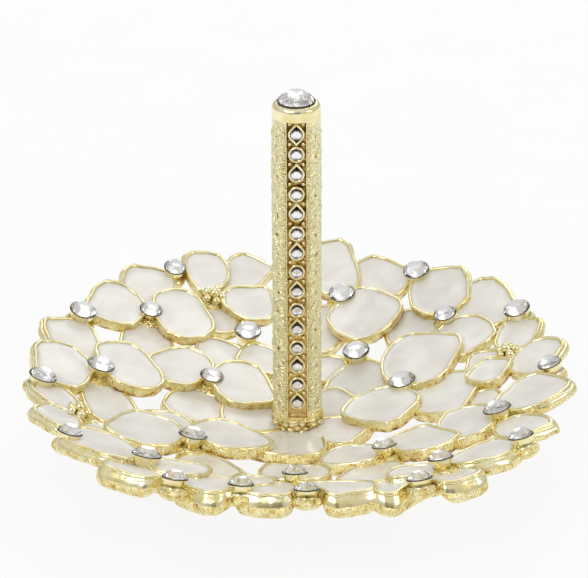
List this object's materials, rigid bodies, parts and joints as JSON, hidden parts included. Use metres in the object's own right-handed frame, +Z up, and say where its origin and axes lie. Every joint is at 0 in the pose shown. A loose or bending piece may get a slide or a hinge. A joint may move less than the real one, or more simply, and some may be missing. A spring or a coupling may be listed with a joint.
{
  "type": "ring holder",
  "caption": "Openwork trinket dish of overlapping enamelled blossoms with a jewelled upright post for holding rings.",
  "frame": {"origin": "on the table under the middle of the dish, on the post's axis", "axes": "+Z up along the post, -Y towards the front, where the jewelled strip faces"},
  "size_m": [0.1062, 0.1077, 0.0742],
  "materials": {
    "gold_plate": "polished pale gold plate over a cast white-metal body",
    "dark_gold": "antiqued dark gold in the recess",
    "enamel": "glossy pearl-white enamel",
    "crystal": "faceted clear crystal with a foiled back",
    "screw_steel": "plain zinc-plated steel"
  },
  "bodies": {
    "root": {"crown_stone": "crystal", "feet": "gold_plate", "floret_back_left": "gold_plate", "floret_back_right": "gold_plate", "floret_behind_post": "gold_plate", "floret_centre": "gold_plate", "floret_cups": "gold_plate", "floret_front": "gold_plate", "floret_front_left": "gold_plate", "floret_front_right": "gold_plate", "floret_inner_front_left": "gold_plate", "floret_inner_front_right": "gold_plate", "floret_inner_left": "gold_plate", "floret_inner_right": "gold_plate", "floret_left": "gold_plate", "floret_left_back": "gold_plate", "floret_left_front": "gold_plate", "floret_left_knot": "gold_plate", "floret_right": "gold_plate", "floret_right_back": "gold_plate", "floret_right_front": "gold_plate", "gallery_strip": "dark_gold", "knot_beads": "gold_plate", "large_stones": "crystal", "petal_enamel": "enamel", "post_collar": "gold_plate", "post_column": "gold_plate", "post_screw": "screw_steel", "single_cups": "gold_plate", "small_stones": "crystal", "strip_collets": "gold_plate", "strip_stones": "crystal"}
  },
  "joints": []
}
